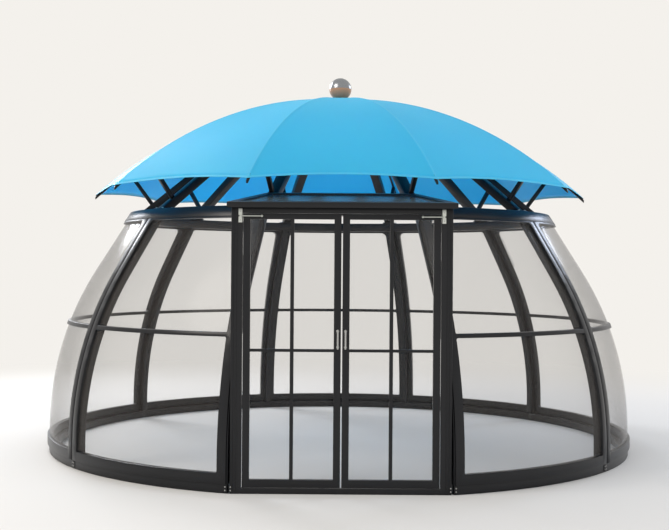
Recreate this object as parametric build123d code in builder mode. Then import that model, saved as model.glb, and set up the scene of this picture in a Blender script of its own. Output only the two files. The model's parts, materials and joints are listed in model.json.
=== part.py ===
"""Round garden sunroom: a domed aluminium frame with curved clear glazing, a glazed double door
under a small porch roof, and a ten-gore fabric canopy held above the top ring.

Millimetres, +Z up. The origin is the centre of the floor circle at ground level and the door
faces -Y. Angles in plan are measured about the centre from the front, positive towards +X.
"""
import math
import os

from build123d import *

os.makedirs("parts", exist_ok=True)

# Plan layout: ten corners, with the door between the two nearest the front
corner_count = 10
corner_angle = 360.0 / corner_count
door_half_angle = corner_angle / 2

# Outer face of the dome wall: upright, then one bend, then a straight lean to the top ring
wall_radius = 2600.0
bend_start_height = 200.0
bend_radius = 2600.0
lean_angle = 32.0

# Plinth under the wall
plinth_height = 68.0
plinth_setback = 15.0
plinth_width = 90.0

# Top ring, with an outer face that leans in like the wall
ring_underside = 1985.0
ring_height = 83.0
ring_overhang = 3.0
ring_width = 190.0
ring_face_lean = 33.0

# Bay frames, ribs and glazing of the wall
frame_depth = 50.0
stile_width = 70.0
groove_width = 10.0
groove_depth = 10.0
bottom_rail_height = 74.0
top_rail_height = 15.0
mid_rail_height = 30.0
mid_rail_centre = 1108.0
window_top_corner = 45.0
window_corner = 14.0
rib_width = 60.0
rib_depth = 50.0
rib_gap = 1.0
door_rib_shift = 25.0
glass_thickness = 6.0
glass_setback = 18.0
fit_gap = 0.3

# Door frame and leaves
door_projection = 3.0
jamb_depth = 41.5
jamb_width = 80.0
door_unit_side_gap = 6.3
sill_height = 40.0
header_underside = 1974.0
leaf_gap = 5.0
meeting_gap = 10.0
leaf_thickness = 38.0
leaf_stile = 50.0
leaf_bottom_rail = 55.0
leaf_top_rail = 37.0
leaf_bar_depth = 24.0
leaf_upright_bar = 26.0
leaf_cross_bar = 20.0
leaf_cross_bar_centre = 1009.0

# Pull handles
handle_height = 1090.0
handle_length = 139.0
handle_radius = 7.0
handle_post_radius = 5.0
handle_standoff = 34.0
handle_inset = 22.0
handle_end_round = 3.5

# Hinge at the top of each jamb: two barrels on the jamb, an eye and a rod on the leaf
hinge_width = 26.0
hinge_depth = 18.0
hinge_top = 2005.0
hinge_bottom = 1907.0
hinge_edge_inset = 2.0
hinge_rod_height = 1953.5
hinge_rod_radius = 4.5
hinge_rod_reach = 150.0
hinge_ball_radius = 9.0
hinge_stem_radius = 4.5
hinge_eye_height = 10.0
hinge_eye_radius = 8.0
hinge_pin_radius = 4.0
hinge_pin_clearance = 0.08
hinge_eye_clearance = 0.4

# Porch roof over the door
roof_overhang = 60.0
roof_side_overhang = 29.0
roof_back_setback = 100.0
roof_back_side_gap = 21.0
roof_front_underside = 2010.0
roof_rise = 112.0
roof_thickness = 40.0
roof_bar = 60.0
roof_glass_height = 24.0
upstand_thickness = 10.0

# Side cheeks between the door frame and the ribs beside it
cheek_thickness = 20.0
cheek_bar = 20.0
cheek_glass_bottom = 1000.0

# Roof beams and hub
beam_width = 84.0
beam_depth = 64.0
beam_slope = 39.0
beam_foot_setback = 154.0
beam_straight_length = 560.0
beam_bend_radius = 2940.0
hub_apothem = 150.0
hub_margin = 12.0
mast_radius = 40.0
crown_apothem = 100.0
crown_thickness = 15.0

# Canopy with its ribs and struts. The seams bend about a point beyond the middle, so that the
# canopy comes to a slight peak
canopy_overhang = 296.6
canopy_corner_height = 2247.0
canopy_bend_radius = 3535.0
canopy_peak_offset = 100.0
canopy_thickness = 8.0
canopy_scallop = 32.0
canopy_eye_radius = 45.0
canopy_rib_size = 18.0
canopy_rib_gap = 2.3
canopy_rib_tip = 4.0
strut_foot_run = 155.0
strut_size = 34.0
strut_angle = 53.6

# Ball on the crown
ball_radius = 102.0
ball_lift = 112.7
neck_radius = 25.0

# Reach of a cutting block past what it cuts
cut_margin = 200.0

# Sizes that follow from the ones above
lean_sine = math.sin(math.radians(lean_angle))
lean_cosine = math.cos(math.radians(lean_angle))
bend_centre = (wall_radius - bend_radius, bend_start_height)
plinth_outer = wall_radius - plinth_setback
window_bottom = plinth_height + bottom_rail_height
window_top = ring_underside - top_rail_height
rib_face_depth = frame_depth + rib_gap
door_side_sine = math.sin(math.radians(door_half_angle))
door_side_cosine = math.cos(math.radians(door_half_angle))
door_front = plinth_outer * door_side_cosine + door_projection
door_back = door_front - jamb_depth
door_unit_half_width = door_back * door_side_sine / door_side_cosine - door_unit_side_gap
doorway_half_width = door_unit_half_width - jamb_width
beam_rise_sine = math.sin(math.radians(beam_slope))
beam_rise_cosine = math.cos(math.radians(beam_slope))
ring_top = ring_underside + ring_height
canopy_half_gore = math.radians(corner_angle / 2)
past_wall = wall_radius + cut_margin
core_depth = wall_radius / 2


def outward(angle):
    """Horizontal direction from the centre at a plan angle."""
    turn = math.radians(angle)
    return (math.sin(turn), -math.cos(turn), 0)


def radial_plane(angle):
    """Upright plane through the centre: local x runs outwards and local y runs up."""
    turn = math.radians(angle)
    return Plane(origin=(0, 0, 0), x_dir=outward(angle), z_dir=(-math.cos(turn), -math.sin(turn), 0))


def leaning_radius(depth, height):
    """Radius of the straight upper wall at a depth behind its outer face."""
    bend_end = bend_start_height + (bend_radius - depth) * lean_sine
    bend_end_radius = bend_centre[0] + (bend_radius - depth) * lean_cosine
    return bend_end_radius - (height - bend_end) * lean_sine / lean_cosine


ring_outer = leaning_radius(0, ring_underside) + ring_overhang
ring_top_outer = ring_outer - ring_height * math.tan(math.radians(ring_face_lean))
beam_foot_radius = ring_outer - beam_foot_setback
canopy_corner_radius = ring_outer + canopy_overhang
canopy_centre_height = canopy_corner_height - math.sqrt(
    canopy_bend_radius**2 - (canopy_corner_radius + canopy_peak_offset) ** 2
)
canopy_top = canopy_centre_height + math.sqrt(canopy_bend_radius**2 - canopy_peak_offset**2)
roof_front_distance = door_front + roof_overhang
roof_front_half_width = door_unit_half_width + roof_side_overhang
roof_back_distance = ring_top_outer - roof_back_setback
roof_back_half_width = ring_top_outer * door_side_sine - roof_back_side_gap
roof_slope = roof_rise / (roof_front_distance - roof_back_distance)


def wall_strip(outer_depth, inner_depth, bottom, top):
    """Section of the wall between two depths behind its outer face."""
    with BuildSketch(mode=Mode.PRIVATE) as strip:
        with BuildLine():
            outer_bend = CenterArc(bend_centre, bend_radius - outer_depth, 0, lean_angle)
            inner_bend = CenterArc(bend_centre, bend_radius - inner_depth, 0, lean_angle)
            Line((wall_radius - outer_depth, bottom), outer_bend @ 0)
            Line(inner_bend @ 0, (wall_radius - inner_depth, bottom))
            Line((wall_radius - inner_depth, bottom), (wall_radius - outer_depth, bottom))
            Line(outer_bend @ 1, (leaning_radius(outer_depth, top), top))
            Line((leaning_radius(outer_depth, top), top), (leaning_radius(inner_depth, top), top))
            Line((leaning_radius(inner_depth, top), top), inner_bend @ 1)
        make_face()
    return strip.sketch


def bay_plan(middle, half_angle, inset):
    """Plan corners of a bay whose sides stay parallel to the ribs beside it."""
    near = core_depth
    far = past_wall / math.cos(math.radians(half_angle))
    tip = inset / math.sin(math.radians(half_angle))
    middle_x, middle_y, _ = outward(middle)
    corners = []
    for side, reach in ((-1, near), (-1, far), (1, far), (1, near)):
        side_x, side_y, _ = outward(middle + side * half_angle)
        corners.append((tip * middle_x + reach * side_x, tip * middle_y + reach * side_y))
    return corners


def bay_block(middle, half_angle, inset, bottom, top, bottom_corner, top_corner):
    """Block that runs out through the wall over one bay, with its long edges rounded."""
    with BuildPart() as block:
        with BuildSketch(Plane.XY.offset(bottom)):
            Polygon(*bay_plan(middle, half_angle, inset), align=None)
        extrude(amount=top - bottom)
        for side in (-1, 1):
            along = Axis((0, 0, 0), outward(middle + side * half_angle))
            long_edges = block.edges().filter_by(along).sort_by(Axis.Z)
            fillet(long_edges[-1], top_corner)
            long_edges = block.edges().filter_by(along).sort_by(Axis.Z)
            fillet(long_edges[0], bottom_corner)
    return block.part


def window_blocks(middle, half_angle, gap):
    """Lower and upper window of a bay, drawn in by a gap on every side."""
    inset = groove_width / 2 + stile_width + gap
    rail_bottom = mid_rail_centre - mid_rail_height / 2
    rail_top = mid_rail_centre + mid_rail_height / 2
    lower = bay_block(
        middle, half_angle, inset, window_bottom + gap, rail_bottom - gap, window_corner, window_corner
    )
    upper = bay_block(
        middle, half_angle, inset, rail_top + gap, window_top - gap, window_corner, window_top_corner
    )
    return lower, upper


def save(part, name):
    """Label a finished piece and write its file."""
    part.label = name
    export_step(part, "parts/" + name + ".step")


# Plinth: three lengths of one rail, open across the doorway. Starts and ends are in corner angles
plinth_lengths = {
    "plinth_left": (-3.5, -0.5),
    "plinth_right": (0.5, 3.5),
    "plinth_back": (3.5, 6.5),
}
for name, (start, end) in plinth_lengths.items():
    with BuildPart() as plinth:
        with BuildSketch(radial_plane(start * corner_angle)):
            with Locations((plinth_outer, 0)):
                Rectangle(plinth_width, plinth_height, align=(Align.MAX, Align.MIN))
        revolve(axis=Axis.Z, revolution_arc=(end - start) * corner_angle)
    save(plinth.part, name)

# Wall bays: a welded frame with a middle rail, and two curved panes in each. The middle and the
# half width of a bay are in corner angles
bays = {
    "front_left": (-1.0, 0.5),
    "side_left": (-2.5, 1.0),
    "back_left": (-4.0, 0.5),
    "back": (5.0, 0.5),
    "back_right": (4.0, 0.5),
    "side_right": (2.5, 1.0),
    "front_right": (1.0, 0.5),
}
for name, (middle_corners, half_corners) in bays.items():
    middle = middle_corners * corner_angle
    half_angle = half_corners * corner_angle
    lower_window, upper_window = window_blocks(middle, half_angle, 0)
    with BuildPart() as bay_frame:
        with BuildSketch(radial_plane(middle - half_angle)):
            add(wall_strip(0, frame_depth, plinth_height, ring_underside))
        revolve(axis=Axis.Z, revolution_arc=2 * half_angle)
        with BuildSketch(Plane.XY):
            Polygon(*bay_plan(middle, half_angle, groove_width / 2), align=None)
        extrude(amount=ring_top, mode=Mode.INTERSECT)
        add(lower_window, mode=Mode.SUBTRACT)
        add(upper_window, mode=Mode.SUBTRACT)
    save(bay_frame.part, name + "_frame")

    panes = []
    for window in window_blocks(middle, half_angle, fit_gap):
        with BuildPart() as pane:
            with BuildSketch(radial_plane(middle - half_angle)):
                glass_back = glass_setback + glass_thickness
                add(wall_strip(glass_setback, glass_back, plinth_height, ring_underside))
            revolve(axis=Axis.Z, revolution_arc=2 * half_angle)
            add(window, mode=Mode.INTERSECT)
        panes.append(pane.part)
    with BuildPart() as glazing:
        add(panes)
    save(glazing.part, name + "_glazing")

# Ribs: a tongue in the groove between two bay frames and a deeper bar behind them. They stand at
# corners, counted from the front, and the side bays' middle corners have none. The bars beside
# the door are shifted away from it, clear of the jambs
ribs = {
    "door_left_rib": (-0.5, door_rib_shift),
    "door_right_rib": (0.5, -door_rib_shift),
    "front_left_rib": (-1.5, 0),
    "front_right_rib": (1.5, 0),
    "back_left_rib": (-3.5, 0),
    "back_right_rib": (3.5, 0),
    "rear_left_rib": (-4.5, 0),
    "rear_right_rib": (4.5, 0),
}
for name, (corner, bar_shift) in ribs.items():
    angle = corner * corner_angle
    with BuildPart() as rib:
        with BuildSketch(radial_plane(angle).offset(bar_shift)):
            add(wall_strip(rib_face_depth, rib_face_depth + rib_depth, plinth_height, ring_underside))
        extrude(amount=rib_width / 2, both=True)
        with BuildSketch(radial_plane(angle)):
            add(wall_strip(groove_depth, rib_face_depth, plinth_height, ring_underside))
        extrude(amount=groove_width / 2, both=True)
    save(rib.part, name)

# Top ring that the ribs carry
with BuildPart() as top_ring:
    with BuildSketch(radial_plane(0)):
        Polygon(
            (ring_outer - ring_width, ring_underside),
            (ring_outer, ring_underside),
            (ring_top_outer, ring_top),
            (ring_outer - ring_width, ring_top),
            align=None,
        )
    revolve(axis=Axis.Z)
save(top_ring.part, "top_ring")

# Roof beams: straight off the ring, then a bend that flattens towards the hub
beam_bend_start = (
    beam_foot_radius - beam_straight_length * beam_rise_cosine,
    ring_top + beam_straight_length * beam_rise_sine,
)
beam_bend_centre = (
    beam_bend_start[0] - beam_bend_radius * beam_rise_sine,
    beam_bend_start[1] - beam_bend_radius * beam_rise_cosine,
)


def beam_foot(offset):
    """Point on the ring's top where a line beside the beam's middle line starts."""
    return (beam_foot_radius + offset / beam_rise_sine, ring_top)


def beam_bend(offset):
    """Bend of a line beside the beam's middle line, from the straight part to the hub."""
    radius = beam_bend_radius + offset
    start = 90 - beam_slope
    end = math.degrees(math.acos((hub_apothem - beam_bend_centre[0]) / radius))
    return CenterArc(beam_bend_centre, radius, start, end - start)


with BuildPart() as roof_beams:
    for index in range(corner_count):
        with BuildSketch(radial_plane((index + 0.5) * corner_angle)):
            with BuildLine():
                top_bend = beam_bend(beam_depth / 2)
                under_bend = beam_bend(-beam_depth / 2)
                Line(beam_foot(beam_depth / 2), top_bend @ 0)
                Line(top_bend @ 1, under_bend @ 1)
                Line(under_bend @ 0, beam_foot(-beam_depth / 2))
                Line(beam_foot(-beam_depth / 2), beam_foot(beam_depth / 2))
            make_face()
        extrude(amount=beam_width / 2, both=True)
save(roof_beams.part, "roof_beams")

# Hub where the beams meet, with a mast and a crown under the canopy
hub_bottom = (under_bend @ 1).Y - hub_margin
hub_top = (top_bend @ 1).Y + hub_margin
crown_bend_radius = canopy_bend_radius - canopy_thickness - canopy_rib_gap
crown_top = canopy_centre_height + math.sqrt(
    crown_bend_radius**2 - (crown_apothem + canopy_peak_offset) ** 2
)
with BuildPart() as hub:
    with BuildSketch(Plane.XY.offset(hub_bottom)):
        RegularPolygon(hub_apothem, corner_count, major_radius=False, rotation=corner_angle / 2)
    extrude(amount=hub_top - hub_bottom)
    with BuildSketch(Plane.XY.offset(hub_top)):
        Circle(mast_radius)
    extrude(amount=crown_top - hub_top)
    with BuildSketch(Plane.XY.offset(crown_top - crown_thickness)):
        RegularPolygon(crown_apothem, corner_count, major_radius=False, rotation=corner_angle / 2)
    extrude(amount=crown_thickness)
save(hub.part, "hub")

# Canopy: ten gores with straight seams over the ribs and a scalloped edge
gore_half_width = canopy_corner_radius * math.sin(canopy_half_gore)
gore_reach = canopy_corner_radius * math.cos(canopy_half_gore)
gore_height = canopy_top - canopy_corner_height + 2 * cut_margin
with BuildPart() as gore:
    with BuildSketch(radial_plane(0)):
        with Locations((-canopy_peak_offset * math.cos(canopy_half_gore), canopy_centre_height)):
            Ellipse(canopy_bend_radius * math.cos(canopy_half_gore), canopy_bend_radius)
            Ellipse(
                (canopy_bend_radius - canopy_thickness) * math.cos(canopy_half_gore),
                canopy_bend_radius - canopy_thickness,
                mode=Mode.SUBTRACT,
            )
        with Locations((0, canopy_corner_height - cut_margin)):
            Rectangle(gore_reach, gore_height, align=(Align.MIN, Align.MIN), mode=Mode.INTERSECT)
    extrude(amount=gore_half_width + cut_margin, both=True)
    with BuildSketch(Plane.XY.offset(canopy_corner_height - cut_margin)):
        edge_x = (canopy_corner_radius + cut_margin) * math.sin(canopy_half_gore)
        edge_y = -(canopy_corner_radius + cut_margin) * math.cos(canopy_half_gore)
        Polygon((0, 0), (-edge_x, edge_y), (edge_x, edge_y), align=None)
    extrude(amount=gore_height, mode=Mode.INTERSECT)
    with BuildSketch(Plane.XZ.offset(gore_reach - cut_margin)):
        with BuildLine():
            scallop = ThreePointArc(
                (-gore_half_width, canopy_corner_height),
                (0, canopy_corner_height + canopy_scallop),
                (gore_half_width, canopy_corner_height),
            )
            Polyline(
                scallop @ 1,
                (gore_half_width, canopy_corner_height - cut_margin),
                (-gore_half_width, canopy_corner_height - cut_margin),
                scallop @ 0,
            )
        make_face()
    extrude(amount=2 * cut_margin, mode=Mode.SUBTRACT)
with BuildPart() as canopy:
    for index in range(corner_count):
        add(gore.part.rotate(Axis.Z, index * corner_angle))
    with Locations((0, 0, canopy_top)):
        Cylinder(canopy_eye_radius, cut_margin, mode=Mode.SUBTRACT)
save(canopy.part, "canopy")

# Canopy ribs under the seams, each with a strut down to its roof beam
rib_outer_radius = canopy_bend_radius - canopy_thickness - canopy_rib_gap
rib_inner_radius = rib_outer_radius - canopy_rib_size
rib_tip_radius = canopy_corner_radius + canopy_rib_tip


def canopy_arc(radius):
    """Arc of a canopy rib's face from the crown out to the tip."""
    start = math.degrees(math.acos((rib_tip_radius + canopy_peak_offset) / radius))
    end = math.degrees(math.acos((crown_apothem + canopy_peak_offset) / radius))
    return CenterArc((-canopy_peak_offset, canopy_centre_height), radius, start, end - start)


strut_x = math.cos(math.radians(strut_angle))
strut_z = math.sin(math.radians(strut_angle))
strut_foot = (
    beam_foot(beam_depth / 2)[0] - strut_foot_run * beam_rise_cosine,
    ring_top + strut_foot_run * beam_rise_sine,
)
strut_end_distance = rib_outer_radius - canopy_rib_size / 2
foot_from_centre = (strut_foot[0] + canopy_peak_offset, strut_foot[1] - canopy_centre_height)
along_strut = foot_from_centre[0] * strut_x + foot_from_centre[1] * strut_z
foot_distance = math.hypot(*foot_from_centre)
strut_length = -along_strut + math.sqrt(along_strut**2 - foot_distance**2 + strut_end_distance**2)
with BuildPart() as canopy_ribs:
    for index in range(corner_count):
        with BuildSketch(radial_plane((index + 0.5) * corner_angle)):
            with BuildLine():
                outer_arc = canopy_arc(rib_outer_radius)
                inner_arc = canopy_arc(rib_inner_radius)
                Line(outer_arc @ 0, inner_arc @ 0)
                Line(outer_arc @ 1, inner_arc @ 1)
            make_face()
        extrude(amount=canopy_rib_size / 2, both=True)
        with BuildSketch(radial_plane((index + 0.5) * corner_angle)):
            foot_x, foot_z = strut_foot
            half_x = strut_size / 2 * beam_rise_cosine
            half_z = strut_size / 2 * beam_rise_sine
            Polygon(
                (foot_x + half_x, foot_z - half_z),
                (foot_x + half_x + strut_length * strut_x, foot_z - half_z + strut_length * strut_z),
                (foot_x - half_x + strut_length * strut_x, foot_z + half_z + strut_length * strut_z),
                (foot_x - half_x, foot_z + half_z),
                align=None,
            )
        extrude(amount=strut_size / 2, both=True)
save(canopy_ribs.part, "canopy_ribs")

# Ball finial on a neck that stands on the crown
with BuildPart() as finial:
    with Locations((0, 0, crown_top + ball_lift)):
        Sphere(ball_radius)
    with BuildSketch(Plane.XY.offset(crown_top)):
        Circle(neck_radius)
    extrude(amount=ball_lift)
save(finial.part, "finial")


def roof_underside(distance):
    """Height of the porch roof's underside at a distance in front of the centre."""
    return roof_front_underside + (roof_front_distance - distance) * roof_slope


# Door frame: jambs, header and sill welded into one, its top cut to the roof's slope
with BuildPart() as door_frame:
    with BuildSketch(Plane.YZ):
        Polygon(
            (-door_front, 0),
            (-door_back, 0),
            (-door_back, roof_underside(door_back)),
            (-door_front, roof_underside(door_front)),
            align=None,
        )
    extrude(amount=door_unit_half_width, both=True)
    with BuildSketch(Plane.XZ):
        with Locations((0, sill_height)):
            doorway_height = header_underside - sill_height
            Rectangle(2 * doorway_half_width, doorway_height, align=(Align.CENTER, Align.MIN))
    extrude(amount=past_wall, mode=Mode.SUBTRACT)
save(door_frame.part, "door_frame")

# Porch roof: a sloped frame welded to a plate that stands on the ring, and one sheet of glass
roof_plan = [
    (-roof_front_half_width, -roof_front_distance),
    (roof_front_half_width, -roof_front_distance),
    (roof_back_half_width, -roof_back_distance),
    (-roof_back_half_width, -roof_back_distance),
]
with BuildPart() as porch_roof_frame:
    with BuildSketch(Plane.YZ):
        Polygon(
            (-roof_front_distance, roof_front_underside),
            (-roof_front_distance, roof_front_underside + roof_thickness),
            (-roof_back_distance, roof_front_underside + roof_thickness + roof_rise),
            (-roof_back_distance, roof_front_underside + roof_rise),
            align=None,
        )
    extrude(amount=roof_front_half_width, both=True)
    with BuildSketch(Plane.XY):
        Polygon(*roof_plan, align=None)
    extrude(amount=canopy_top, mode=Mode.INTERSECT)
    with BuildSketch(Plane.XY):
        Polygon(*roof_plan, align=None)
        offset(amount=-roof_bar, kind=Kind.INTERSECTION, mode=Mode.REPLACE)
    extrude(amount=canopy_top, mode=Mode.SUBTRACT)
    upstand_front = roof_back_distance + upstand_thickness
    with BuildSketch(Plane.YZ):
        Polygon(
            (-upstand_front, ring_top),
            (-upstand_front, roof_underside(upstand_front)),
            (-roof_back_distance, roof_underside(roof_back_distance)),
            (-roof_back_distance, ring_top),
            align=None,
        )
    extrude(amount=roof_back_half_width, both=True)
save(porch_roof_frame.part, "porch_roof_frame")

with BuildPart() as porch_roof_glazing:
    with BuildSketch(Plane.YZ):
        glass_low = roof_front_underside + roof_glass_height
        Polygon(
            (-roof_front_distance, glass_low),
            (-roof_front_distance, glass_low + glass_thickness),
            (-roof_back_distance, glass_low + glass_thickness + roof_rise),
            (-roof_back_distance, glass_low + roof_rise),
            align=None,
        )
    extrude(amount=roof_front_half_width, both=True)
    with BuildSketch(Plane.XY):
        Polygon(*roof_plan, align=None)
        offset(amount=-roof_bar - fit_gap, kind=Kind.INTERSECTION, mode=Mode.REPLACE)
    extrude(amount=canopy_top, mode=Mode.INTERSECT)
save(porch_roof_glazing.part, "porch_roof_glazing")


def cheek_opening(gap):
    """A cheek's window: bounded by the rib's curve, the door frame and the roof's slope."""
    rib_side = frame_depth - cheek_bar
    front = door_back / door_side_cosine - cheek_bar - gap
    back = ring_outer + cheek_bar + gap
    front_top = roof_underside(front * door_side_cosine) - cheek_bar - gap
    back_top = roof_underside(back * door_side_cosine) - cheek_bar - gap
    with BuildSketch(mode=Mode.PRIVATE) as opening:
        Polygon(
            (front, cheek_glass_bottom + gap),
            (front, front_top),
            (back, back_top),
            (back, cheek_glass_bottom + gap),
            align=None,
        )
        add(wall_strip(rib_side - gap, core_depth, 0, ring_top), mode=Mode.SUBTRACT)
    return opening.sketch


def both_cheeks(right_cheek):
    """Right cheek and its mirror image on the left."""
    with BuildPart() as pair:
        add(right_cheek)
        mirror(about=Plane.YZ)
    return pair.part


cheek_plane = radial_plane(door_half_angle).offset(groove_width / 2)
with BuildPart() as cheek_frame:
    with BuildSketch(cheek_plane):
        with Locations((ring_outer - ring_width, plinth_height)):
            Rectangle(wall_radius - ring_outer + ring_width, ring_top, align=(Align.MIN, Align.MIN))
        add(wall_strip(frame_depth, core_depth, 0, ring_underside), mode=Mode.SUBTRACT)
    extrude(amount=cheek_thickness)
    with BuildSketch(cheek_plane):
        add(cheek_opening(0))
    extrude(amount=cheek_thickness, mode=Mode.SUBTRACT)
    with BuildSketch(Plane.YZ):
        Polygon(
            (-door_back, plinth_height),
            (-door_back, roof_underside(door_back)),
            (-roof_back_distance, roof_underside(roof_back_distance)),
            (-roof_back_distance, plinth_height),
            align=None,
        )
    extrude(amount=wall_radius, both=True, mode=Mode.INTERSECT)
    with BuildSketch(radial_plane(0)):
        Polygon(
            (core_depth, ring_underside - fit_gap),
            (ring_outer + fit_gap, ring_underside - fit_gap),
            (ring_top_outer + fit_gap, ring_top),
            (ring_top_outer + fit_gap, canopy_top),
            (core_depth, canopy_top),
            align=None,
        )
    revolve(axis=Axis.Z, revolution_arc=corner_angle, mode=Mode.SUBTRACT)
save(both_cheeks(cheek_frame.part), "cheek_frames")

with BuildPart() as cheek_glass:
    with BuildSketch(cheek_plane.offset((cheek_thickness - glass_thickness) / 2)):
        add(cheek_opening(fit_gap))
    extrude(amount=glass_thickness)
save(both_cheeks(cheek_glass.part), "cheek_glazing")

# Door leaves: each hangs on the hinge at its outer side and opens outwards
leaf_outer_edge = doorway_half_width - leaf_gap
leaf_inner_edge = meeting_gap / 2
leaf_bottom = sill_height + leaf_gap
leaf_top = header_underside - leaf_gap
leaf_middle = (leaf_outer_edge + leaf_inner_edge) / 2
leaf_width = leaf_outer_edge - leaf_inner_edge
window_columns = (
    (leaf_inner_edge + leaf_stile, leaf_middle - leaf_upright_bar / 2),
    (leaf_middle + leaf_upright_bar / 2, leaf_outer_edge - leaf_stile),
)
window_rows = (
    (leaf_bottom + leaf_bottom_rail, leaf_cross_bar_centre - leaf_cross_bar / 2),
    (leaf_cross_bar_centre + leaf_cross_bar / 2, leaf_top - leaf_top_rail),
)
leaf_glass_front = door_front - (leaf_thickness - glass_thickness) / 2
hinge_axis_x = doorway_half_width + hinge_edge_inset + hinge_width / 2
hinge_axis_y = -door_front - hinge_depth / 2


def leaf_rectangles(gap, outward_side):
    """Draw the four lights of a leaf in elevation, drawn in by a gap."""
    for near, far in window_columns:
        for low, high in window_rows:
            with Locations((outward_side * (near + far) / 2, (low + high) / 2)):
                Rectangle(far - near - 2 * gap, high - low - 2 * gap)


for side_name, side in (("left", -1), ("right", 1)):
    with BuildPart() as leaf:
        with BuildSketch(Plane.XZ.offset(door_front - leaf_thickness)):
            with Locations((side * leaf_middle, leaf_bottom)):
                Rectangle(leaf_width, leaf_top - leaf_bottom, align=(Align.CENTER, Align.MIN))
            inner_height = leaf_top - leaf_bottom - leaf_top_rail - leaf_bottom_rail
            with Locations((side * leaf_middle, leaf_bottom + leaf_bottom_rail)):
                Rectangle(
                    leaf_width - 2 * leaf_stile,
                    inner_height,
                    align=(Align.CENTER, Align.MIN),
                    mode=Mode.SUBTRACT,
                )
        extrude(amount=leaf_thickness)
        with BuildSketch(Plane.XZ.offset(door_front - (leaf_thickness + leaf_bar_depth) / 2)):
            with Locations((side * leaf_middle, leaf_bottom + leaf_bottom_rail)):
                Rectangle(leaf_upright_bar, inner_height, align=(Align.CENTER, Align.MIN))
            with Locations((side * leaf_middle, leaf_cross_bar_centre)):
                Rectangle(leaf_width - 2 * leaf_stile, leaf_cross_bar)
        extrude(amount=leaf_bar_depth)
    save(leaf.part, side_name + "_leaf")

    with BuildPart() as leaf_glazing:
        with BuildSketch(Plane.XZ.offset(leaf_glass_front - glass_thickness)):
            leaf_rectangles(fit_gap, side)
        extrude(amount=glass_thickness)
    save(leaf_glazing.part, side_name + "_leaf_glazing")

    handle_x = side * (leaf_inner_edge + handle_inset)
    with BuildPart() as handle:
        with BuildSketch(Plane.XY.offset(handle_height - handle_length / 2)):
            with Locations((handle_x, -door_front - handle_standoff)):
                Circle(handle_radius)
        extrude(amount=handle_length)
        fillet(handle.edges(), handle_end_round)
        with BuildSketch(Plane.XZ.offset(door_front)):
            post_rise = handle_length / 2 - 2 * handle_radius
            with Locations((handle_x, handle_height - post_rise), (handle_x, handle_height + post_rise)):
                Circle(handle_post_radius)
        extrude(amount=handle_standoff)
    save(handle.part, side_name + "_handle")

    rod_end_x = side * (hinge_axis_x - hinge_rod_reach)
    with BuildPart() as hinge_rod:
        with BuildSketch(Plane.XY.offset(hinge_rod_height - hinge_eye_height / 2 + hinge_eye_clearance)):
            with Locations((side * hinge_axis_x, hinge_axis_y)):
                Circle(hinge_eye_radius)
        extrude(amount=hinge_eye_height - 2 * hinge_eye_clearance)
        with BuildSketch(Plane.YZ.offset(rod_end_x)):
            with Locations((hinge_axis_y, hinge_rod_height)):
                Circle(hinge_rod_radius)
        extrude(amount=side * (hinge_rod_reach - hinge_pin_radius))
        with Locations((rod_end_x, hinge_axis_y, hinge_rod_height)):
            Sphere(hinge_ball_radius)
        with BuildSketch(Plane.XZ.offset(door_front)):
            with Locations((rod_end_x, hinge_rod_height)):
                Circle(hinge_stem_radius)
        extrude(amount=hinge_depth / 2)
        with BuildSketch(Plane.XY.offset(hinge_bottom)):
            with Locations((side * hinge_axis_x, hinge_axis_y)):
                Circle(hinge_pin_radius + hinge_pin_clearance)
        extrude(amount=hinge_top - hinge_bottom, mode=Mode.SUBTRACT)
    save(hinge_rod.part, side_name + "_hinge_rod")

# Hinge barrels: two blocks on each jamb joined by the pin through the rod's eye
with BuildPart() as hinge_barrels:
    for side in (-1, 1):
        with BuildSketch(Plane.XY.offset(hinge_bottom)):
            with Locations((side * hinge_axis_x, hinge_axis_y)):
                Rectangle(hinge_width, hinge_depth)
        extrude(amount=hinge_rod_height - hinge_eye_height / 2 - hinge_bottom)
        with BuildSketch(Plane.XY.offset(hinge_rod_height + hinge_eye_height / 2)):
            with Locations((side * hinge_axis_x, hinge_axis_y)):
                Rectangle(hinge_width, hinge_depth)
        extrude(amount=hinge_top - hinge_rod_height - hinge_eye_height / 2)
        with BuildSketch(Plane.XY.offset(hinge_bottom)):
            with Locations((side * hinge_axis_x, hinge_axis_y)):
                Circle(hinge_pin_radius)
        extrude(amount=hinge_top - hinge_bottom)
save(hinge_barrels.part, "hinge_barrels")
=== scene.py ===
"""Looks of a round garden sunroom: powder-coated frame, curved clear panes, double door and canopy."""
import json
import math

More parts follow.
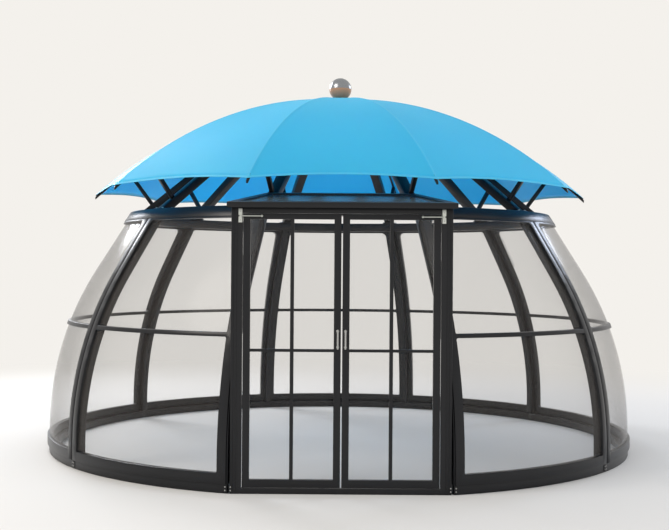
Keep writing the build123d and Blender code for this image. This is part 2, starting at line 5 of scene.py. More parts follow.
import bmesh
import bpy
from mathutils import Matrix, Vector

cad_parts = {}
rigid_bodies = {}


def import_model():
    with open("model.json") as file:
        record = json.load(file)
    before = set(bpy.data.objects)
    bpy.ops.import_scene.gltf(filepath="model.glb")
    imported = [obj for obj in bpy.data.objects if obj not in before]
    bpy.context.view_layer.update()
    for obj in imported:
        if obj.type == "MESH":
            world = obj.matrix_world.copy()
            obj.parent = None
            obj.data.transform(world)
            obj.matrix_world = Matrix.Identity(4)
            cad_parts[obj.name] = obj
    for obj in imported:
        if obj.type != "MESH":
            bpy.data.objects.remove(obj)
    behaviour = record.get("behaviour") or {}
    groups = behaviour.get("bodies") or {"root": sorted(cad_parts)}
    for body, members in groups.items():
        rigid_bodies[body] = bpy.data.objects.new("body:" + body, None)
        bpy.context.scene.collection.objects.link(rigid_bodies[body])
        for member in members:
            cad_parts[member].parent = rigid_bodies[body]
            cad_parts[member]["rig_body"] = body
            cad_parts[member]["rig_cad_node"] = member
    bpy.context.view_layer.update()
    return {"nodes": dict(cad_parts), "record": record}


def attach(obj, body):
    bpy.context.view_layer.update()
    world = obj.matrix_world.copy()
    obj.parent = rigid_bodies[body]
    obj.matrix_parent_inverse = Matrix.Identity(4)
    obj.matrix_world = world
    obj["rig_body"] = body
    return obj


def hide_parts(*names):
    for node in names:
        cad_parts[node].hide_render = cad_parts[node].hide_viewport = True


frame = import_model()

field_tone = "F4F1EC"
smooth_angle = math.radians(40)

# Canopy, the same sizes as the solid that it stands for, in metres
gore_count = 10
gore_half = math.pi / gore_count
corner_radius = 2.2501
corner_height = 2.247
bend_radius = 3.535
peak_offset = 0.1
canopy_centre = corner_height - math.sqrt(bend_radius**2 - (corner_radius + peak_offset) ** 2)
scallop_rise = 0.032
eye_radius = 0.046
fabric_thickness = 0.0012
fabric_sag = 0.010
cloth_per_radius = 1.1
seam_start = eye_radius * 1.3
seam_half_width = 0.008
seam_rise = 0.0016
hem_width = 0.018
hem_rise = 0.0010

# Ball
ball_radius = 0.102
ball_height = 3.238
collar_radius = 0.040

# Places of the frame where small fittings go
plinth_face = 2.585
plinth_height = 0.068
rib_corners = (-162, -126, -54, 54, 126, 162)
door_corner = 18
ring_top = 2.068
beam_foot = 1.7995
door_face = 2.4615
jamb_foot_screw = 0.7745
jamb_top = 2.008
handle_x = 0.027
handle_height = 1.090
handle_post_rise = 0.0555
hinge_x = 0.715
hinge_face = 2.4795
hinge_screw_heights = (1.924, 1.983)
rib_cap_shift = (0.026, 0.009)

# Sizes of the small fittings
foot_plate_size = (0.126, 0.130, 0.006)
foot_plate_middle = beam_foot + 0.004
foot_bolt_middle = 0.0095
joint_plate_size = (0.056, 0.003, 0.050)
end_plate_size = (0.024, 0.003, 0.050)
plate_middle = 0.035
plate_step = 0.001
screw_radius = 0.005
screw_rise = 0.003
screw_shift = 0.013
screw_heights = (0.023, 0.047)


# Colours and materials
def colour(hex_value):
    """Linear colour of an sRGB hex value such as "2E2F33"."""
    channels = [int(hex_value[i : i + 2], 16) / 255 for i in (0, 2, 4)]
    linear = [c / 12.92 if c <= 0.04045 else ((c + 0.055) / 1.055) ** 2.4 for c in channels]
    return (*linear, 1.0)


def add_node(tree, kind, sockets=None, **settings):
    """Add one node; a socket takes a plain value or another node's output."""
    node = tree.nodes.new(kind)
    for name, value in settings.items():
        setattr(node, name, value)
    for name, value in (sockets or {}).items():
        if isinstance(value, bpy.types.NodeSocket):
            tree.links.new(value, node.inputs[name])
        else:
            node.inputs[name].default_value = value
    return node


def start_material(name):
    """Empty node material with its shader and output linked."""
    material = bpy.data.materials.new(name)
    material.use_nodes = True
    tree = material.node_tree
    tree.nodes.clear()
    shader = add_node(tree, "ShaderNodeBsdfPrincipled")
    output = add_node(tree, "ShaderNodeOutputMaterial")
    tree.links.new(shader.outputs["BSDF"], output.inputs["Surface"])
    place = add_node(tree, "ShaderNodeTexCoord").outputs["Object"]
    return material, tree, shader, place


def mixed_tone(tree, share, dark, light):
    """Blend of two hex colours by a texture's value."""
    mix = add_node(
        tree, "ShaderNodeMix", {0: share, 6: colour(dark), 7: colour(light)}, data_type="RGBA"
    )
    return mix.outputs[2]


def add_relief(tree, shader, height, strength, depth):
    """Fine relief of the surface from a texture's value, its depth in metres."""
    bump = add_node(tree, "ShaderNodeBump", {"Height": height, "Strength": strength, "Distance": depth})
    tree.links.new(bump.outputs["Normal"], shader.inputs["Normal"])


def powder_coated_aluminium():
    """Extruded aluminium with a charcoal polyester powder coat: satin, with a fine orange peel."""
    material, tree, shader, place = start_material("powder_coated_aluminium")
    peel_size = 0.006
    cloud = add_node(tree, "ShaderNodeTexNoise", {"Vector": place, "Scale": 3.0, "Detail": 4.0})
    peel = add_node(tree, "ShaderNodeTexNoise", {"Vector": place, "Scale": 1 / peel_size, "Detail": 1.0})
    shade = mixed_tone(tree, cloud.outputs["Fac"], "101114", "16171B")
    gloss = add_node(
        tree, "ShaderNodeMapRange", {"Value": cloud.outputs["Fac"], "To Min": 0.27, "To Max": 0.36}
    )
    tree.links.new(shade, shader.inputs["Base Color"])
    tree.links.new(gloss.outputs["Result"], shader.inputs["Roughness"])
    add_relief(tree, shader, peel.outputs["Fac"], 0.12, 0.0004)
    shader.inputs["IOR"].default_value = 1.5
    shader.inputs["Specular IOR Level"].default_value = 0.36
    return material


def clear_sheet(name, tint, face_cover, edge_cover, ripple):
    """Clear glazing sheet: it shows what is behind it and mirrors more at a low angle."""
    material, tree, shader, place = start_material(name)
    shader.inputs["Base Color"].default_value = colour(tint)
    shader.inputs["Roughness"].default_value = 0.16
    shader.inputs["IOR"].default_value = 1.52
    glance = add_node(tree, "ShaderNodeLayerWeight", {"Blend": 0.5})
    steep = add_node(
        tree, "ShaderNodeMath", {0: glance.outputs["Facing"], 1: 4.0}, operation="POWER"
    )
    cover = add_node(
        tree,
        "ShaderNodeMapRange",
        {"Value": steep.outputs["Value"], "To Min": face_cover, "To Max": edge_cover},
    )
    tree.links.new(cover.outputs["Result"], shader.inputs["Alpha"])
    wave = add_node(tree, "ShaderNodeTexNoise", {"Vector": place, "Scale": 1.6, "Detail": 1.0})
    add_relief(tree, shader, wave.outputs["Fac"], 1.0, ripple)
    return material


def acrylic_canvas(name, thread_colour, worn_colour):
    """Solution-dyed acrylic canvas: matt plain weave with a soft nap, drawn at eight times its thread."""
    material, tree, shader, place = start_material(name)
    thread = 0.0008
    drawn_pitch = thread * 8
    wave_of_scale_one = 0.314
    threads = add_node(tree, "ShaderNodeUVMap", uv_map="weave")
    warp, weft = [
        add_node(
            tree,
            "ShaderNodeTexWave",
            {"Vector": threads.outputs["UV"], "Scale": wave_of_scale_one / drawn_pitch},
            bands_direction=direction,
        )
        for direction in ("X", "Y")
    ]
    weave = add_node(
        tree,
        "ShaderNodeMath",
        {0: warp.outputs["Fac"], 1: weft.outputs["Fac"]},
        operation="MAXIMUM",
    )
    cloud = add_node(tree, "ShaderNodeTexNoise", {"Vector": place, "Scale": 1.3, "Detail": 5.0})
    shade = mixed_tone(tree, cloud.outputs["Fac"], thread_colour, worn_colour)
    tree.links.new(shade, shader.inputs["Base Color"])
    add_relief(tree, shader, weave.outputs["Value"], 0.25, thread)
    shader.inputs["Roughness"].default_value = 0.57
    shader.inputs["IOR"].default_value = 1.49
    shader.inputs["Specular IOR Level"].default_value = 0.36
    shader.inputs["Subsurface Weight"].default_value = 0.85
    shader.inputs["Subsurface Radius"].default_value = (0.15, 0.8, 1.0)
    shader.inputs["Subsurface Scale"].default_value = 0.006
    return material


def bright_metal(name, metal_colour, roughness, grain, bareness=1.0):
    """Metal: polished, brushed or cast, by its roughness and grain; less bare under a lacquer."""
    material, tree, shader, place = start_material(name)
    grain_size = 0.002
    scratches = add_node(tree, "ShaderNodeMapping", {"Vector": place, "Scale": (1.0, 1.0, 14.0)})
    streaks = add_node(
        tree,
        "ShaderNodeTexNoise",
        {"Vector": scratches.outputs["Vector"], "Scale": 0.1 / grain_size, "Detail": 3.0},
    )
    gloss = add_node(
        tree,
        "ShaderNodeMapRange",
        {"Value": streaks.outputs["Fac"], "To Min": roughness * 0.8, "To Max": roughness * 1.3},
    )
    tree.links.new(gloss.outputs["Result"], shader.inputs["Roughness"])
    add_relief(tree, shader, streaks.outputs["Fac"], grain, 0.0002)
    shader.inputs["Base Color"].default_value = colour(metal_colour)
    shader.inputs["Metallic"].default_value = bareness
    return material


def black_nylon():
    """Injection-moulded black nylon: dull, with the fine grain of a spark-eroded mould."""
    material, tree, shader, place = start_material("moulded_black_nylon")
    grain_size = 0.003
    grain = add_node(tree, "ShaderNodeTexNoise", {"Vector": place, "Scale": 1 / grain_size})
    shade = mixed_tone(tree, grain.outputs["Fac"], "121214", "1C1C1F")
    tree.links.new(shade, shader.inputs["Base Color"])
    add_relief(tree, shader, grain.outputs["Fac"], 0.3, 0.0003)
    shader.inputs["Roughness"].default_value = 0.6
    shader.inputs["IOR"].default_value = 1.53
    return material


frame_coat = powder_coated_aluminium()
wall_sheet = clear_sheet("bronze_polycarbonate", "69645F", 0.09, 0.5, 0.0006)
door_sheet = clear_sheet("clear_float_glass", "6E6C6A", 0.06, 0.95, 0.0002)
# The roof glass's blue-grey tint is partly a real glass tint and partly a painted reflection of the blue
# canopy underside
roof_sheet = clear_sheet("tempered_roof_glass", "59686F", 0.22, 0.97, 0.0005)
canopy_canvas = acrylic_canvas("sky_blue_acrylic_canvas", "27A8E4", "33B0E9")
seam_tape = acrylic_canvas("pale_blue_seam_tape", "3EB1E6", "4AB7E9")
polished_steel = bright_metal("polished_stainless_steel", "9DA0A4", 0.24, 0.02)
# Bronze for the collar, and for the ball's lower half as a painted reflection of warm brown ground on a steel
# ball
bronze_and_painted_reflection = bright_metal("bronze_and_painted_reflection", "B5896A", 0.35, 0.05, 0.2)
brushed_steel = bright_metal("brushed_stainless_steel", "BDBDBB", 0.3, 0.2)
cast_alloy = bright_metal("satin_zinc_alloy", "D5D8D2", 0.42, 0.1)
moulded_nylon = black_nylon()


# Shaping helpers
def deselect_all():
    """Leave edit mode and deselect every object."""
    if bpy.context.object and bpy.context.object.mode != "OBJECT":
        bpy.ops.object.mode_set(mode="OBJECT")
    bpy.ops.object.select_all(action="DESELECT")


def make_active(piece):
    """Select one piece alone."""
    deselect_all()
    piece.select_set(True)
    bpy.context.view_layer.objects.active = piece


def settle(piece, name, material):
    """Name a piece, give it its material and move its place into its mesh."""
    make_active(piece)
    bpy.ops.object.transform_apply(location=True, rotation=True, scale=True)
    piece.name = name
    piece.data.name = name
    piece.data.materials.clear()
    piece.data.materials.append(material)
    return piece


def apply_modifiers(piece):
    """Apply every modifier in order."""
    make_active(piece)
    for modifier in list(piece.modifiers):
        bpy.ops.object.modifier_apply(modifier=modifier.name)


def mesh_piece(name, points, faces, material, weave=None):
    """Piece from points and faces, with a weave map in metres where it is cloth."""
    mesh = bpy.data.meshes.new(name)
    mesh.from_pydata(points, [], faces)
    mesh.update()
    if weave:
        layer = mesh.uv_layers.new(name="weave")
        for loop in mesh.loops:
            layer.data[loop.index].uv = weave[loop.vertex_index]
    piece = bpy.data.objects.new(name, mesh)
    bpy.context.scene.collection.objects.link(piece)
    mesh.materials.append(material)
    return piece


def start_block(size, place):
    """Block of a size at a place, alone in the selection and in edit mode with nothing selected."""
    deselect_all()
    bpy.ops.mesh.primitive_cube_add(size=1, location=place)
    block = bpy.context.object
    block.scale = size
    bpy.ops.object.transform_apply(location=False, rotation=False, scale=True)
    bpy.ops.object.mode_set(mode="EDIT")
    bpy.ops.mesh.select_all(action="DESELECT")
    return block


def pick_faces(piece, test):
    """Select the faces of the piece in edit mode that pass a test on centre and normal."""
    bpy.ops.mesh.select_mode(type="FACE")
    cage = bmesh.from_edit_mesh(piece.data)
    for face in cage.faces:
        face.select_set(test(face.calc_center_median(), face.normal))
    bmesh.update_edit_mesh(piece.data)


def face_outwards(piece):
    """Turn all the piece's faces outwards."""
    make_active(piece)
    bpy.ops.object.mode_set(mode="EDIT")
    bpy.ops.mesh.select_all(action="SELECT")
    bpy.ops.mesh.normals_make_consistent(inside=False)
    bpy.ops.object.mode_set(mode="OBJECT")


def ease_edges(piece, width):
    """Round the piece's edges."""
    bpy.ops.object.mode_set(mode="OBJECT")
    easing = piece.modifiers.new("eased_edges", "BEVEL")
    easing.width = width
    easing.segments = 2
    easing.limit_method = "ANGLE"
    easing.angle_limit = math.radians(35)
    apply_modifiers(piece)
    bpy.ops.object.shade_smooth_by_angle(angle=smooth_angle)


# Canopy
def canopy_point(angle, across, reach, lift=0.0):
    """Point of the canopy: across runs -1 to 1 between a gore's seams, reach is the seam radius there."""
    slope = (reach + peak_offset) / bend_radius
    height = math.sqrt(bend_radius**2 - (reach + peak_offset) ** 2)
    fill = 1 - across**2
    sag = fabric_sag * fill * math.sin(math.pi * min(1.0, reach / corner_radius)) ** 2
    inward = lift - sag
    outward_distance = reach * math.cos(gore_half) + inward * slope
    sideways = across * reach * math.sin(gore_half)
    return Vector(
        (
            outward_distance * math.sin(angle) + sideways * math.cos(angle),
            -outward_distance * math.cos(angle) + sideways * math.sin(angle),
            canopy_centre + height + inward * math.sqrt(1 - slope**2),
        )
    )


def rim_reach(across):
    """Seam radius at the scalloped edge."""
    height = corner_height + scallop_rise * (1 - across**2) - canopy_centre
    return math.sqrt(bend_radius**2 - height**2) - peak_offset


def make_canopy():
    """Ten gores sewn into one sheet, with sharp folds at the seams."""
    across_steps = 20
    reach_steps = 48
    points, faces, weave = [], [], []
    for gore in range(gore_count):
        angle = gore * 2 * gore_half
        first = len(points)
        for row in range(reach_steps + 1):
            for column in range(across_steps + 1):
                across = -1 + 2 * column / across_steps
                share = row / reach_steps
                reach = eye_radius + (rim_reach(across) - eye_radius) * share
                points.append(canopy_point(angle, across, reach))
                weave.append((across * reach * math.sin(gore_half), share * corner_radius * cloth_per_radius))
        for row in range(reach_steps):
            for column in range(across_steps):
                corner = first + row * (across_steps + 1) + column
                below = corner + across_steps + 1
                faces.append((corner, below, below + 1, corner + 1))
    piece = mesh_piece("canopy_fabric", points, faces, canopy_canvas, weave)
    shell = bmesh.new()
    shell.from_mesh(piece.data)
    bmesh.ops.remove_doubles(shell, verts=shell.verts, dist=0.0002)
    for edge in shell.edges:
        middle = (edge.verts[0].co + edge.verts[1].co) / 2
        turn = math.atan2(middle.x, -middle.y) / gore_half
        on_seam = abs(turn - round(turn)) < 0.0005 and round(turn) % 2 == 1
        edge.smooth = not on_seam
    shell.to_mesh(piece.data)
    shell.free()
    face_outwards(piece)
    for face in piece.data.polygons:
        face.use_smooth = True
    thickness = piece.modifiers.new("thickness", "SOLIDIFY")
    thickness.thickness = fabric_thickness
    thickness.offset = -1.0
    apply_modifiers(piece)
    return piece


def cloth_strip(name, edges, material, rise):
    """Raised tape between two rows of points; each entry holds the rows and a lift direction."""
    points, faces, weave = [], [], []
    for left_row, right_row, lifts in edges:
        first = len(points)
        for index, (left, right, lift) in enumerate(zip(left_row, right_row, lifts)):
            middle = (left + right) / 2 + lift * rise
            points.extend((left - lift * rise, left + lift * rise * 0.6, middle + lift * rise * 0.4))
            points.extend((right + lift * rise * 0.6, right - lift * rise))
            width = (left - right).length
            along = index * (left - left_row[0]).length / max(1, index)
            weave.extend(((0, along), (0, along), (width / 2, along), (width, along), (width, along)))
        for index in range(len(left_row) - 1):
            for lane in range(4):
                corner = first + index * 5 + lane
                faces.append((corner, corner + 5, corner + 6, corner + 1))
            corner = first + index * 5
            faces.append((corner + 4, corner + 9, corner + 5, corner))
        faces.append(tuple(first + lane for lane in range(5)))
        last = first + (len(left_row) - 1) * 5
        faces.append(tuple(last + lane for lane in reversed(range(5))))
    piece = mesh_piece(name, points, faces, material, weave)
    face_outwards(piece)
    bpy.ops.object.shade_smooth_by_angle(angle=math.radians(50))
    return piece


def make_seams():
    """Tape over each seam, folded down on both sides of it."""
    steps = 48
    rows = []
    for gore in range(gore_count):
        angle = gore * 2 * gore_half
        left_row, right_row, lifts = [], [], []
        for index in range(steps + 1):
            reach = seam_start + (corner_radius - seam_start) * index / steps
            inset = seam_half_width / (reach * math.sin(gore_half))
            ridge = canopy_point(angle, 1.0, reach)
            left_row.append(canopy_point(angle, 1.0 - inset, reach))
            right_row.append(canopy_point(angle + 2 * gore_half, -1.0 + inset, reach))
            lifts.append((ridge - Vector((0, 0, canopy_centre))).normalized())
        rows.append((left_row, right_row, lifts))
    return cloth_strip("canopy_seams", rows, seam_tape, seam_rise)


def make_hem():
    """Doubled hem that follows the scalloped edge of each gore."""
    steps = 24
    rows = []
    for gore in range(gore_count):
        angle = gore * 2 * gore_half
        outer_row, inner_row, lifts = [], [], []
        for index in range(steps + 1):
            across = -1 + 2 * index / steps
            edge = canopy_point(angle, across, rim_reach(across))
            outer_row.append(edge)
            inner_row.append(canopy_point(angle, across, rim_reach(across) - hem_width))
            lifts.append((edge - Vector((0, 0, canopy_centre))).normalized())
        rows.append((outer_row, inner_row, lifts))
    return cloth_strip("canopy_hem", rows, seam_tape, hem_rise)


canopy = make_canopy()
seams = make_seams()
hem = make_hem()
for piece in (canopy, seams, hem):
    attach(piece, "sunroom")
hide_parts("canopy")


# Ball: two spun halves on a turned collar; the lower half is coloured bronze as a painted reflection of warm
# brown ground
def make_half(upper):
    """Half of the ball, with a small lip where the halves meet."""
    deselect_all()
    bpy.ops.mesh.primitive_uv_sphere_add(
        segments=96, ring_count=48, radius=ball_radius, location=(0, 0, ball_height)
    )
    half = bpy.context.object
    bpy.ops.object.mode_set(mode="EDIT")
    bpy.ops.mesh.select_all(action="SELECT")
    bpy.ops.mesh.bisect(
        plane_co=(0, 0, ball_height),
        plane_no=(0, 0, 1),
        clear_inner=upper,
        clear_outer=not upper,
        use_fill=True,
    )
    bpy.ops.mesh.inset(thickness=0.002)
    inward = 0.004 if upper else -0.004
    bpy.ops.transform.translate(value=(0, 0, inward))
    bpy.ops.object.mode_set(mode="OBJECT")
    bpy.ops.object.shade_smooth_by_angle(angle=smooth_angle)
    return half


def make_collar():
    """Turned collar between the canopy and the ball."""
    deselect_all()
    height = 0.012
    bpy.ops.mesh.primitive_cylinder_add(
        vertices=64, radius=collar_radius, depth=height, location=(0, 0, canopy_centre + bend_radius)
    )
    collar = bpy.context.object
    bpy.ops.object.mode_set(mode="EDIT")
    pick_faces(collar, lambda centre, normal: normal.z > 0.9)
    bpy.ops.mesh.inset(thickness=collar_radius * 0.35)
    bpy.ops.mesh.extrude_region_move(TRANSFORM_OT_translate={"value": (0, 0, height)})
    ease_edges(collar, 0.002)
    return collar


upper_half = settle(make_half(True), "ball", polished_steel)
# The lower half's bronze colour is a painted reflection of warm ground, not a different metal
painted_reflection_half = settle(make_half(False), "ball_painted_reflection_half", bronze_and_painted_reflection)
collar = settle(make_collar(), "ball_collar", bronze_and_painted_reflection)
for piece in (upper_half, painted_reflection_half, collar):
    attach(piece, "sunroom")
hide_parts("finial")


# Frame and glazing
frame_slots = {part["node"]: part["material_slot"] for part in frame["record"]["subparts"]}


def finished_copy(node, material, edge_radius):
    """Welded copy of a rigid piece with its sharp edges eased, shown in its place."""
    source = frame["nodes"][node]
    body = source["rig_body"]
    piece = source.copy()
    piece.data = source.data.copy()
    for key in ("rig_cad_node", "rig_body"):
        del piece[key]
    piece.parent = None
    bpy.context.scene.collection.objects.link(piece)
    make_active(piece)
    bpy.ops.object.mode_set(mode="EDIT")
    bpy.ops.mesh.select_all(action="SELECT")
    bpy.ops.mesh.remove_doubles(threshold=0.00005)
    bpy.ops.mesh.dissolve_limited(angle_limit=math.radians(0.2))
    bpy.ops.object.mode_set(mode="OBJECT")
    if edge_radius:
        easing = piece.modifiers.new("eased_edges", "BEVEL")
        easing.width = edge_radius
        easing.segments = 2
        easing.limit_method = "ANGLE"
        easing.angle_limit = math.radians(40)
    apply_modifiers(piece)
    bpy.ops.object.shade_smooth_by_angle(angle=math.radians(35))
    settle(piece, node + "_finished", material)
    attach(piece, body)
    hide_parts(node)


slot_finish = {
    "dark_frame": (frame_coat, 0.003),
    "wall_glazing": (wall_sheet, 0.0),
    "door_glass": (door_sheet, 0.0),
    "brushed_steel": (brushed_steel, 0.0),
    "hinge_metal": (cast_alloy, 0.002),
}
for node in sorted(frame["nodes"]):
    if node == "porch_roof_glazing":
        finished_copy(node, roof_sheet, 0.0)
    elif frame_slots[node] in slot_finish:
        finished_copy(node, *slot_finish[frame_slots[node]])


# Small fittings. Each is modelled once as if it stood at the front, on the -Y side
def model_screw(radius, height, place):
    """Pan-head screw that faces -Y, with a hexagon socket sunk in its head."""
    deselect_all()
    bpy.ops.mesh.primitive_cylinder_add(
        vertices=18, radius=radius, depth=height, location=place, rotation=(math.radians(90), 0, 0)
    )
    screw = bpy.context.object
    bpy.ops.object.transform_apply(location=False, rotation=True, scale=False)
    bpy.ops.object.mode_set(mode="EDIT")
    pick_faces(screw, lambda centre, normal: normal.y < -0.9)
    bpy.ops.mesh.inset(thickness=radius * 0.25)
    bpy.ops.transform.translate(value=(0, -height * 0.3, 0))
    bpy.ops.mesh.inset(thickness=radius * 0.3)
    bpy.ops.mesh.extrude_region_move(TRANSFORM_OT_translate={"value": (0, height * 0.6, 0)})
    ease_edges(screw, radius * 0.06)
    return screw


def model_plate(size, place, step):
    """Flat plate that faces -Y, with a raised middle."""
    plate = start_block(size, place)
    pick_faces(plate, lambda centre, normal: normal.y < -0.9)
    bpy.ops.mesh.inset(thickness=min(size[0], size[2]) * 0.12)
    bpy.ops.transform.translate(value=(0, -step, 0))
    ease_edges(plate, size[1] * 0.3)
    return plate


def model_foot_plate():
    """Welded plate under a roof beam, thinner at its rim."""
    plate = start_block(foot_plate_size, (0, -foot_plate_middle, ring_top + foot_plate_size[2] / 2))
    pick_faces(plate, lambda centre, normal: normal.z > 0.9)
    bpy.ops.mesh.inset(thickness=0.008)
    bpy.ops.transform.translate(value=(0, 0, 0.002))
    ease_edges(plate, 0.0015)
    return plate


def model_foot_bolt(across, along):
    """Hexagon bolt with a washer on the plate under a roof beam."""
    place = (across, -foot_plate_middle + along, ring_top + foot_bolt_middle)
    deselect_all()
    bpy.ops.mesh.primitive_cylinder_add(vertices=6, radius=0.009, depth=0.008, location=place)
    bolt = bpy.context.object
    bpy.ops.object.mode_set(mode="EDIT")
    bpy.ops.mesh.select_all(action="DESELECT")
    pick_faces(bolt, lambda centre, normal: normal.z < -0.9)
    bpy.ops.mesh.extrude_region_move()
    bpy.ops.transform.resize(value=(1.4, 1.4, 1))
    bpy.ops.mesh.extrude_region_move(TRANSFORM_OT_translate={"value": (0, 0, -0.002)})
    ease_edges(bolt, 0.0006)
    return bolt


def model_rib_cap():
    """Cap that closes a canopy rib's tip and clasps the fabric's corner."""
    fall = math.asin((corner_radius + peak_offset) / bend_radius)
    cap = start_block((0.021, 0.060, 0.019), (0, 0, 0))
    pick_faces(cap, lambda centre, normal: normal.y < -0.9)
    bpy.ops.transform.resize(value=(0.55, 1, 0.6), center_override=(0, -0.032, 0))
    pick_faces(cap, lambda centre, normal: normal.y > 0.9)
    bpy.ops.mesh.inset(thickness=0.004)
    bpy.ops.mesh.extrude_region_move(TRANSFORM_OT_translate={"value": (0, 0.010, 0)})
    ease_edges(cap, 0.004)
    cap.rotation_euler = (fall, 0, 0)
    cap.location = (0, -corner_radius + rib_cap_shift[0], corner_height + rib_cap_shift[1])
    make_active(cap)
    bpy.ops.object.transform_apply(location=True, rotation=True, scale=False)
    return cap


def set_round(model, turns, name, material, body):
    """Stand copies of a modelled fitting at plan angles, each with its own mesh, as one piece."""
    copies = []
    for turn in turns:
        twin = model.copy()
        twin.data = model.data.copy()
        bpy.context.scene.collection.objects.link(twin)
        make_active(twin)
        bpy.ops.object.transform_apply(location=True, rotation=True, scale=True)
        twin.rotation_euler = (0, 0, math.radians(turn))
        bpy.ops.object.transform_apply(location=False, rotation=True, scale=False)
        copies.append(twin)
    bpy.data.objects.remove(model)
    join_pieces(copies, name, material, body)


def joined(parts):
    """Join modelled parts into one object."""
    deselect_all()
    for part in parts:
        part.select_set(True)
    bpy.context.view_layer.objects.active = parts[0]
    bpy.ops.object.join()
    return bpy.context.view_layer.objects.active


def join_pieces(parts, name, material, body):
    """Join modelled parts into one named piece that rides on a body."""
    piece = settle(joined(parts), name, material)
    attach(piece, body)


corner_turns = [36 * index + 18 for index in range(gore_count)]
set_round(model_rib_cap(), corner_turns, "canopy_rib_caps", moulded_nylon, "sunroom")
set_round(model_foot_plate(), corner_turns, "beam_foot_plates", frame_coat, "sunroom")
foot_bolts = joined(
    [model_foot_bolt(across, along) for across in (-0.052, 0.052) for along in (-0.045, 0.045)]
)
set_round(foot_bolts, corner_turns, "beam_foot_bolts", cast_alloy, "sunroom")

# Joint plates on the plinth at the ribs, each with four screws, and half plates beside the door
plate_place = (0, -plinth_face - joint_plate_size[1] / 2, plate_middle)
plate_screw_face = plinth_face + 0.005
joint_plate = model_plate(joint_plate_size, plate_place, plate_step)
set_round(joint_plate, rib_corners, "plinth_joint_plates", frame_coat, "sunroom")
joint_screws = joined(
    [
        model_screw(screw_radius, screw_rise, (across, -plate_screw_face, height))
        for across in (-screw_shift, screw_shift)
        for height in screw_heights
    ]
)
set_round(joint_screws, rib_corners, "plinth_joint_screws", brushed_steel, "sunroom")
end_shift = math.degrees(screw_shift / plinth_face)
end_turns = (door_corner + end_shift, -door_corner - end_shift)
end_plate = model_plate(end_plate_size, plate_place, plate_step)
set_round(end_plate, end_turns, "plinth_end_plates", frame_coat, "sunroom")
end_screws = joined(
    [model_screw(screw_radius, screw_rise, (0, -plate_screw_face, height)) for height in screw_heights]
)
set_round(end_screws, end_turns, "plinth_end_screws", brushed_steel, "sunroom")

# Beads along the jambs
bead_size = (0.006, 0.002, jamb_top - 0.02)
bead_places = (0.741, 0.764)
beads = [
    model_plate(bead_size, (side * across, -door_face - bead_size[1] / 2, jamb_top / 2), plate_step)
    for side in (-1, 1)
    for across in bead_places
]
join_pieces(beads, "jamb_beads", frame_coat, "sunroom")

# Foot screws of the jambs, hinge screws, and a rose under each post of the handles
foot_screws = [
    model_screw(screw_radius, screw_rise, (side * jamb_foot_screw, -door_face - screw_rise / 2, height))
    for side in (-1, 1)
    for height in screw_heights
]
join_pieces(foot_screws, "jamb_foot_screws", brushed_steel, "sunroom")
hinge_screws = [
    model_screw(0.0045, 0.002, (side * hinge_x, -hinge_face - 0.001, height))
    for side in (-1, 1)
    for height in hinge_screw_heights
]
join_pieces(hinge_screws, "hinge_screws", brushed_steel, "sunroom")
for side, door in ((-1, "left_door"), (1, "right_door")):
    roses = []
    for rise in (-handle_post_rise, handle_post_rise):
        place = (side * handle_x, -door_face - 0.0015, handle_height + rise)
        roses.append(model_screw(0.0105, 0.003, place))
    join_pieces(roses, door + "_handle_roses", brushed_steel, door)


# Floor, light and camera
def make_floor():
    """Pale floor that runs out of view."""
    deselect_all()
    bpy.ops.mesh.primitive_plane_add(size=900, location=(0, 0, -0.001))
    floor = bpy.context.object
    floor.name = "floor"
    material, tree, shader, place = start_material("pale_floor")
    shader.inputs["Base Color"].default_value = colour("E2E1DF")
    shader.inputs["Roughness"].default_value = 0.9
    distance = add_node(tree, "ShaderNodeVectorMath", {0: place}, operation="LENGTH")
    far = add_node(
        tree,
        "ShaderNodeMapRange",
        {"Value": distance.outputs["Value"], "From Min": 3.5, "From Max": 9.0},
        interpolation_type="SMOOTHSTEP",
    )
    field = add_node(tree, "ShaderNodeEmission", {"Color": colour(field_tone), "Strength": 1.0})
    mix = add_node(
        tree,
        "ShaderNodeMixShader",
        {0: far.outputs["Result"], 1: shader.outputs["BSDF"], 2: field.outputs["Emission"]},
    )
    output = next(node for node in tree.nodes if node.bl_idname == "ShaderNodeOutputMaterial")
    tree.links.new(mix.outputs["Shader"], output.inputs["Surface"])
    floor.data.materials.append(material)


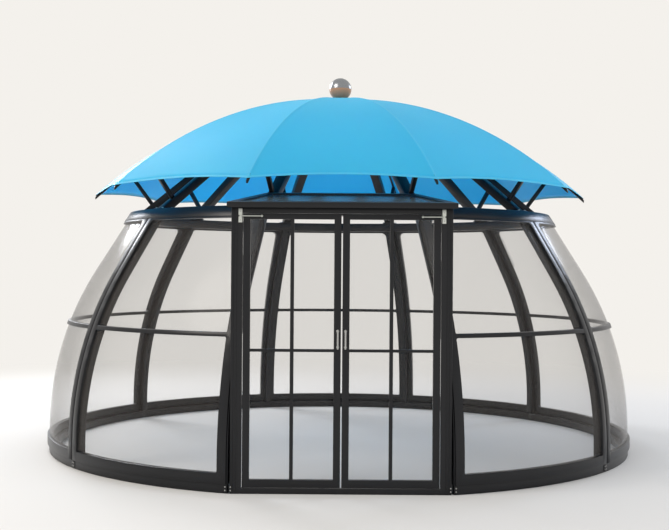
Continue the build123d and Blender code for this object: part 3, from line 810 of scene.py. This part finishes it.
def make_world():
    """Even pale surroundings: a soft light on the object and a paler field behind it."""
    world = bpy.data.worlds.new("studio")
    bpy.context.scene.world = world
    world.use_nodes = True
    tree = world.node_tree
    tree.nodes.clear()
    rays = add_node(tree, "ShaderNodeLightPath")
    seen = add_node(
        tree,
        "ShaderNodeMath",
        {0: rays.outputs["Is Camera Ray"], 1: rays.outputs["Is Transmission Ray"]},
        operation="MAXIMUM",
    )
    glow = add_node(tree, "ShaderNodeBackground", {"Color": colour("F3F1EE"), "Strength": 0.8})
    field = add_node(tree, "ShaderNodeBackground", {"Color": colour(field_tone), "Strength": 1.0})
    mix = add_node(
        tree,
        "ShaderNodeMixShader",
        {0: seen.outputs["Value"], 1: glow.outputs["Background"], 2: field.outputs["Background"]},
    )
    output = add_node(tree, "ShaderNodeOutputWorld")
    tree.links.new(mix.outputs["Shader"], output.inputs["Surface"])


def add_lamp(name, place, aim, size, power, tone, mirrored):
    """Round soft lamp turned towards a point."""
    lamp = bpy.data.lights.new(name, "AREA")
    lamp.shape = "DISK"
    lamp.size = size
    lamp.energy = power
    lamp.color = colour(tone)[:3]
    holder = bpy.data.objects.new(name, lamp)
    bpy.context.scene.collection.objects.link(holder)
    holder.visible_camera = False
    holder.visible_transmission = False
    holder.visible_glossy = mirrored
    holder.location = place
    holder.rotation_euler = (Vector(aim) - Vector(place)).to_track_quat("-Z", "Y").to_euler()


def make_camera():
    """Camera at standing eye height in front of the door."""
    camera = bpy.data.objects.new("camera", bpy.data.cameras.new("camera"))
    bpy.context.scene.collection.objects.link(camera)
    camera.location = (-0.0856, -10.3, 1.598)
    camera.rotation_euler = (math.radians(90), math.radians(-0.4), 0)
    camera.data.sensor_width = 36
    camera.data.lens = 60.05
    camera.data.shift_x = 0.0069
    camera.data.shift_y = 0.0030
    bpy.context.scene.camera = camera


make_floor()
make_world()
# Lamps: name, place, point that it faces, size, power, tone, and whether it shows in mirrored light
lamps = (
    ("key_lamp", (-7.5, -5.5, 8.5), (0, 0, 1.8), 5.0, 440, "FFF8F0", True),
    ("fill_lamp", (7.0, -6.0, 4.5), (0, 0, 1.2), 6.0, 180, "EAF2FF", False),
    ("rim_lamp", (-6.2, 6.9, 6.5), (-0.8, -0.8, 2.4), 4.5, 720, "F6F9FF", True),
    ("cool_lamp", (7.4, 5.4, 5.8), (1.4, -1.0, 1.9), 2.4, 170, "DCE8FF", True),
)
for lamp_settings in lamps:
    add_lamp(*lamp_settings)
make_camera()

bpy.context.scene.view_settings.view_transform = "Standard"
